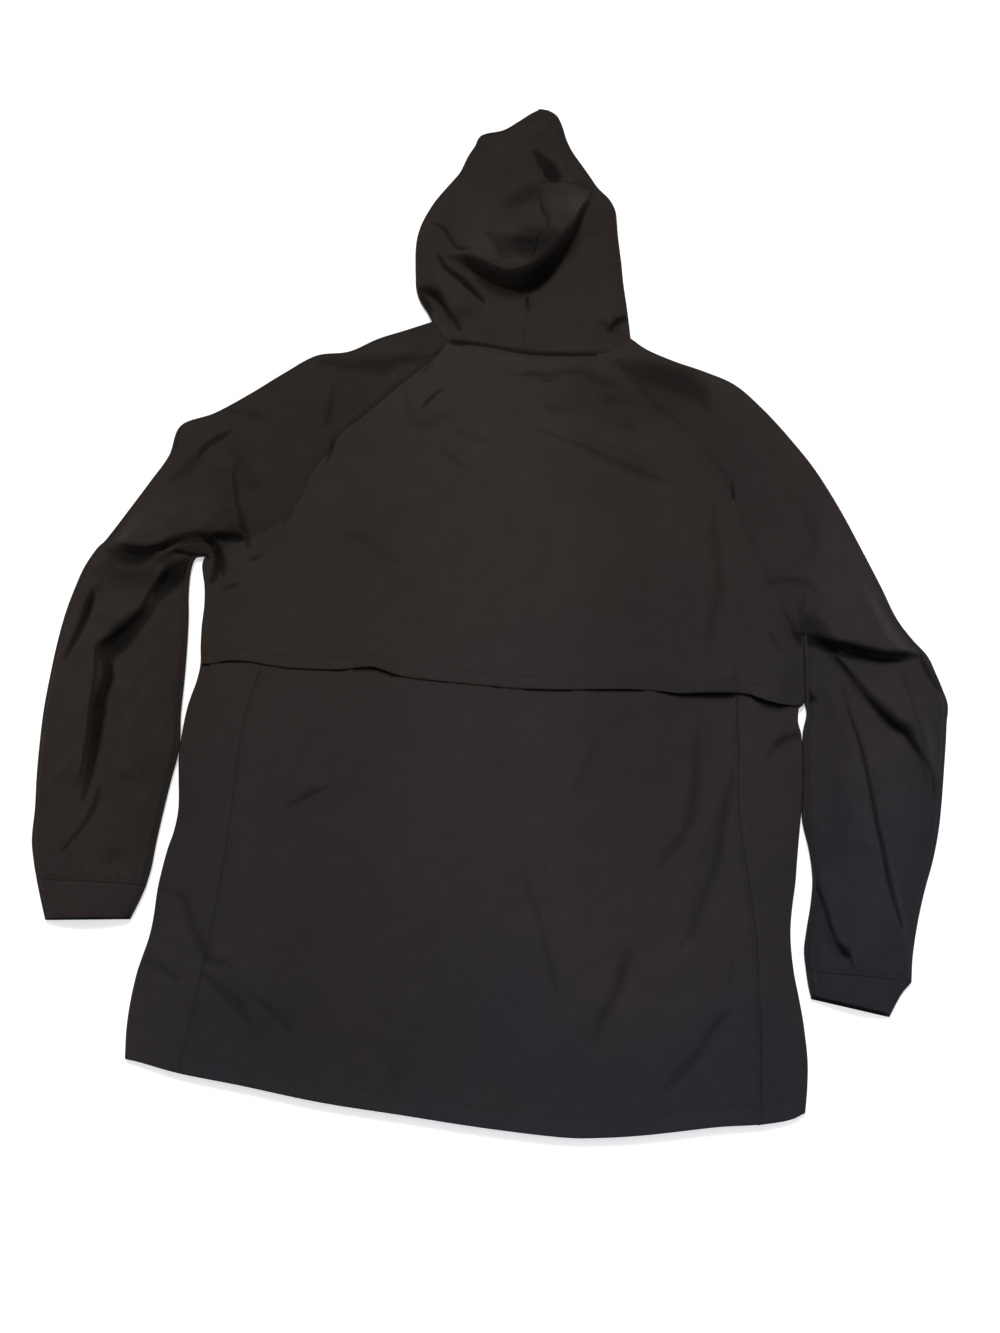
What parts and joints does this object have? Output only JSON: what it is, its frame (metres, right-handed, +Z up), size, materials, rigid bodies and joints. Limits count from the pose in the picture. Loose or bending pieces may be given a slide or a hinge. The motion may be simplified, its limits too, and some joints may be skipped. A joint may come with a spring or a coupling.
{
  "type": "windbreaker jacket",
  "caption": "Dark hooded windbreaker with raglan sleeves and a vented back cape, laid flat with its back up.",
  "frame": {"origin": "on the surface it lies on, at the middle of the bounding box", "axes": "+Y along the centre back toward the hood, +Z up from the surface, +X toward the sleeve on the right as seen from above"},
  "size_m": [0.8663, 1.0264, 0.0461],
  "materials": {
    "shell_cloth": "matt woven nylon with a slight sheen",
    "zip_plastic": "moulded black coil on woven tape",
    "slider_metal": "black enamel"
  },
  "bodies": {
    "root": {"hood_left": "shell_cloth", "hood_right": "shell_cloth", "back_yoke": "shell_cloth", "back_lower": "shell_cloth", "side_panel_left": "shell_cloth", "side_panel_right": "shell_cloth", "front_left": "shell_cloth", "front_right": "shell_cloth", "sleeve_left": "shell_cloth", "sleeve_right": "shell_cloth", "cuff_left": "shell_cloth", "cuff_right": "shell_cloth", "zip": "zip_plastic", "zip_slider": "slider_metal"}
  },
  "joints": []
}
